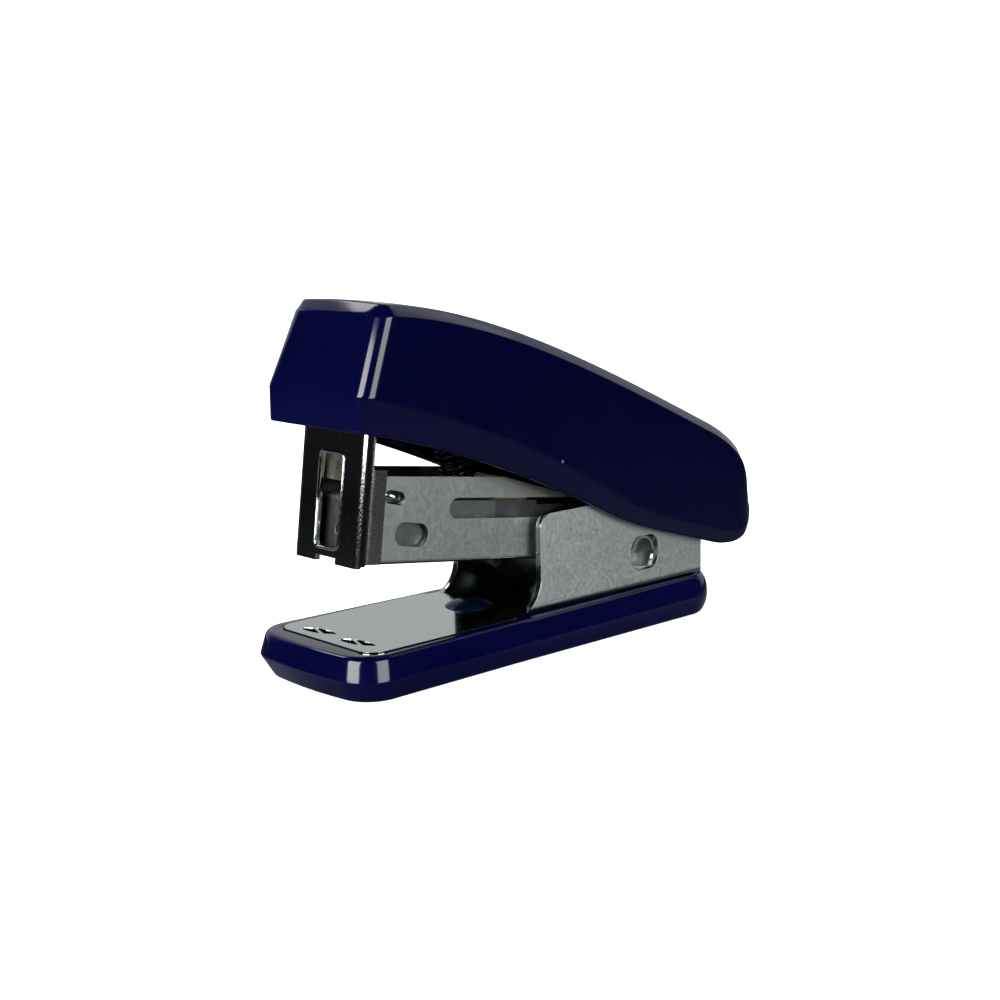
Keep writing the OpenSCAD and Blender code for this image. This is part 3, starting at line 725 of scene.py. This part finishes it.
def build_lift_spring():
    """Torsion spring round the hinge sleeve: one leg under the rail, the other on the floor."""
    start = math.pi / 2 - TILT
    turning = []
    for i in range(int(LIFT_TURNS * LIFT_STEPS) + 1):
        turn = i / LIFT_STEPS
        a = start + 2 * math.pi * turn
        turning.append(Vector((LIFT_RADIUS * math.cos(a), LIFT_PITCH * (turn - LIFT_TURNS / 2),
                               LIFT_RADIUS * math.sin(a))))
    first, last = turning[0], turning[-1]
    upper = first + Vector((-LIFT_LEG * math.cos(TILT), 0, LIFT_LEG * math.sin(TILT) - 2.9))
    lower = last + Vector((-LIFT_LEG, 0, -3.1))
    path = [upper, first + Vector((-2, 0, -0.4)), *turning, last + Vector((-3, 0, -1.1)), lower]
    points, faces = tube([HINGE + p for p in path], LIFT_WIRE)
    piece = add_piece("lift_coil", points, faces, None, "spring_wire", ["lift_spring"])
    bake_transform(piece)


# ---- pressed details of the nose and the magazine

NOSE_FACE = -45.2
SLOT_HALF = 1.9
SLOT_LOW, SLOT_HIGH = -3.4, 6.2
SLOT_CORNER = 0.6
LIP_RADIUS = 0.17
LIP_OUT = 0.06
MAG_HALF = 5.1
DIMPLE_AT = (-41, 2.25)
DIMPLE_SIZE = (1.18, 0.6)
DIMPLE_SUNK = 0.3
DIMPLE_TURN = math.radians(-8)
TAB_CENTRE = (11.5, 8.6)
TAB_RADIUS = 1.72
TAB_END = 7
TAB_DOME = 0.3
DOME_SHARES = [i / 6 for i in range(7)]


def rounded_loop(low, high, r, steps=6):
    """A closed outline of a rectangle with round corners, in its own plane."""
    loop = []
    for cx, cy, start in ((high[0] - r, high[1] - r, 0), (low[0] + r, high[1] - r, 90),
                          (low[0] + r, low[1] + r, 180), (high[0] - r, low[1] + r, 270)):
        loop += arc((cx, cy), r, start, start + 90, steps)
    return loop


def build_slot_lip():
    """The raised lip pressed round the slot of the nose."""
    loop = rounded_loop((-SLOT_HALF, SLOT_LOW), (SLOT_HALF, SLOT_HIGH), SLOT_CORNER)
    loop.append(loop[0])
    points, faces = tube([at_hinge(NOSE_FACE + LIP_OUT, y, z) for y, z in loop], LIP_RADIUS)
    add_piece("nose_slot_lip", points, faces, "magazine", "nose_chrome")


def build_dimples():
    """Small polished lances sunk in the magazine's sides beside the nose."""
    cos, sin = math.cos(DIMPLE_TURN), math.sin(DIMPLE_TURN)
    for side, name in ((-1, "dimple_near"), (1, "dimple_far")):
        rings = []
        for share in DOME_SHARES:
            ring = []
            for a in round_angles(28):
                u, v = DIMPLE_SIZE[0] * share * math.cos(a), DIMPLE_SIZE[1] * share * math.sin(a)
                bulge = 0.22 * (1 - share ** 2) + 0.12 * math.sin(2.6 * u + 0.6) * (1 - share)
                ring.append(at_hinge(DIMPLE_AT[0] + u * cos - v * sin,
                                     side * (MAG_HALF - DIMPLE_SUNK + bulge),
                                     DIMPLE_AT[1] + u * sin + v * cos))
            rings.append(ring)
        fix_normals(add_piece(name, *loft(rings), "magazine", "nose_chrome"))


def build_tab_caps():
    """The polished, slightly domed ends of the half-round tabs in the frame's windows."""
    for side, name in ((-1, "tab_cap_near"), (1, "tab_cap_far")):
        rings = []
        for share in DOME_SHARES:
            out = side * (TAB_END + 0.02 + TAB_DOME * (math.sqrt(1 - 0.9 * share ** 2) - 0.6))
            half_disc = arc(TAB_CENTRE, TAB_RADIUS * share, 0, 180, 24)
            rings.append([Vector((x, out, z)) for x, z in half_disc])
        points, faces = loft(rings, closed=False)
        fix_normals(add_piece(name, points, faces, "magazine", "pin_steel"))


# ---- CAD nodes that stay, with rounded edges

EDGE_WIDTHS = {
    "base_frame": 0.14, "base_rivets": 0.08, "magazine_channel": 0.09, "magazine_nose": 0.14,
    "staple_rail": 0.06, "handle_arm": 0.1, "driver_blade": 0.05, "driver_rivets": 0.06,
    "spring_cup": 0.06, "spring_seat": 0.08, "rod_bracket": 0.06, "pusher_shoe": 0.06,
    "pusher_tab": 0.12, "hinge_pin": 0.1, "pusher_rod": 0.06, "spring_sleeve": 0.06,
    "cover_studs": 0.08}
CLAMPED = ("base_frame", "magazine_nose", "magazine_channel")  # whose narrow faces would overshoot


def round_edges(node, width):
    """Softens a CAD node's edges by a bevel, after merging its triangles into flat faces."""
    piece = frame["nodes"][node]
    piece.data.shade_smooth()
    weld = piece.modifiers.new("weld", "WELD")
    weld.merge_threshold = MERGE * MM
    planar = piece.modifiers.new("planar", "DECIMATE")
    planar.decimate_type = "DISSOLVE"
    planar.angle_limit = math.radians(0.8)
    bevel = piece.modifiers.new("bevel", "BEVEL")
    bevel.width = width * MM
    bevel.segments = 2
    bevel.limit_method = "ANGLE"
    bevel.angle_limit = math.radians(28)
    bevel.use_clamp_overlap = node in CLAMPED
    weigh_normals(piece)


def finish_nodes():
    """Gives every CAD node the material of its slot, and softens the edges of those that stay."""
    for part in frame["record"]["subparts"]:
        mesh = frame["nodes"][part["node"]].data
        mesh.materials.clear()
        mesh.materials.append(MATERIALS[part["material_slot"]])
    for node, width in EDGE_WIDTHS.items():
        round_edges(node, width)


# ---- studio

STUDIO_TARGET = Vector((0, 0, 0.02))
# Name, azimuth from +X and elevation in degrees, distance, size and radiance of each light
LIGHTS = (("left_box", 185, 20, 0.34, (0.2, 0.2), 10),
          ("right_box", 269, 20, 0.34, (0.2, 0.2), 6),
          ("back_card", 103, 44, 0.45, (0.12, 0.08), 4.6),
          ("rear_card", 346, 45, 0.5, (0.3, 0.2), 0.45))
FAR_AZIMUTH = math.radians(47)  # towards the pale end of the room
UP, DOWN = (0, 0, 1), (0, 0, -1)
CAMERA_TURN = (42.34, 10.641, -0.984)  # yaw from +Y, pitch down and roll, in degrees
CAMERA_AT = Vector((-126.97, -135.44, 50.04)) * MM
CAMERA_LENS = 62.16


def softbox(name, azimuth, elevation, distance, size, radiance):
    """A rectangular light that faces the stapler."""
    a, e = math.radians(azimuth), math.radians(elevation)
    data = bpy.data.lights.new(name, "AREA")
    data.shape = "RECTANGLE"
    data.size, data.size_y = size
    data.energy = radiance * math.pi * size[0] * size[1]
    light = bpy.data.objects.new(name, data)
    bpy.context.scene.collection.objects.link(light)
    outwards = Vector((math.cos(a) * math.cos(e), math.sin(a) * math.cos(e), math.sin(e)))
    light.location = STUDIO_TARGET + distance * outwards
    light.rotation_euler = (STUDIO_TARGET - light.location).to_track_quat("-Z", "Y").to_euler()


def build_lights():
    for light in LIGHTS:
        softbox(*light)


def build_world():
    """A pale room on the far side, dim on the camera's side and overhead, and a table below."""
    world = bpy.data.worlds.new("room")
    bpy.context.scene.world = world
    world.use_nodes = True
    tree = world.node_tree
    back = tree.nodes["Background"]
    place = tree.nodes.new("ShaderNodeTexCoord")

    def toward(direction, start, end, low, high):
        """low to high as the cosine to a direction goes from start to end."""
        dot = tree.nodes.new("ShaderNodeVectorMath")
        dot.operation = "DOT_PRODUCT"
        dot.inputs[1].default_value = direction
        tree.links.new(place.outputs["Generated"], dot.inputs[0])
        ranged = tree.nodes.new("ShaderNodeMapRange")
        ranged.interpolation_type = "SMOOTHSTEP"
        bounds = {"From Min": start, "From Max": end, "To Min": low, "To Max": high}
        for key, number in bounds.items():
            ranged.inputs[key].default_value = number
        tree.links.new(dot.outputs["Value"], ranged.inputs["Value"])
        return ranged.outputs["Result"]

    def combine(operation, a, b):
        made = tree.nodes.new("ShaderNodeMath")
        made.operation = operation
        tree.links.new(a, made.inputs[0])
        tree.links.new(b, made.inputs[1])
        return made.outputs[0]

    far = toward((math.cos(FAR_AZIMUTH), math.sin(FAR_AZIMUTH), 0), 0.3, 0.62, 0.012, 0.58)
    not_overhead = toward(UP, 0.75, 0.95, 1, 0.12)
    above = toward(UP, -0.03, 0.0, 0, 1)
    room = combine("MULTIPLY", combine("MULTIPLY", far, not_overhead), above)
    table = combine("MULTIPLY", toward(DOWN, 0.0, 0.4, 0.0, 0.3), toward(DOWN, 0.4, 0.75, 1, 0.2))
    table = combine("MULTIPLY", table, toward((-0.17, 0.98, 0), -0.4, 0.2, 0.5, 1))
    tree.links.new(combine("ADD", room, table), back.inputs["Strength"])
    back.inputs["Color"].default_value = (0.97, 0.99, 1, 1)


def build_floor():
    """A white sweep all round: flat under the stapler, curving up far from it."""
    profile = [(0.001, 0), (0.25, 0), (0.5, 0), (0.8, 0)]
    profile += [(0.8 + x, 0.7 + z) for x, z in arc((0, 0), 0.7, -90, 0, 12)][1:]
    profile.append((1.5, 2))
    angles = round_angles(64)
    points, faces = loft([[Vector((r * math.cos(a), r * math.sin(a), z)) for a in angles]
                          for r, z in profile])
    faces.append(tuple(range(len(angles)))[::-1])
    mesh = bpy.data.meshes.new("sweep")
    mesh.from_pydata(points, [], faces)
    mesh.shade_smooth()
    floor = bpy.data.objects.new("sweep", mesh)
    bpy.context.scene.collection.objects.link(floor)
    paper = Shader("sweep_paper", 0, 0.9, 0)
    clouds = paper.spread(paper.noise(0.004), 0, 1)
    paper.colour(paper.mix(clouds, (0.86, 0.86, 0.86), (0.87, 0.87, 0.87)))
    paper.bsdf.inputs["Emission Color"].default_value = (1, 1, 1, 1)
    paper.bsdf.inputs["Emission Strength"].default_value = 0.75
    mesh.materials.append(paper.material)
    for ray in ("visible_glossy", "visible_shadow"):
        setattr(floor, ray, False)


def build_camera():
    """The photograph's view, slightly above the stapler and to the left of its side."""
    yaw, pitch, roll = (math.radians(a) for a in CAMERA_TURN)
    forward = Vector((math.sin(yaw) * math.cos(pitch), math.cos(yaw) * math.cos(pitch),
                      -math.sin(pitch)))
    right = Vector((math.cos(yaw), -math.sin(yaw), 0))
    up = right.cross(forward)
    right, up = (math.cos(roll) * right + math.sin(roll) * up,
                 math.cos(roll) * up - math.sin(roll) * right)
    data = bpy.data.cameras.new("camera")
    data.sensor_width = 36
    data.lens = CAMERA_LENS
    data.clip_start = 0.01
    camera = bpy.data.objects.new("camera", data)
    bpy.context.scene.collection.objects.link(camera)
    axes = Matrix((right, up, -forward)).transposed().to_4x4()
    camera.matrix_world = Matrix.Translation(CAMERA_AT) @ axes
    bpy.context.scene.camera = camera


build_cover()
build_base()
build_return_spring()
build_pusher_spring()
build_lift_spring()
build_slot_lip()
build_dimples()
build_tab_caps()
finish_nodes()
build_lights()
build_world()
build_floor()
build_camera()
bpy.context.scene.view_settings.view_transform = "Standard"

bpy.context.view_layer.update()
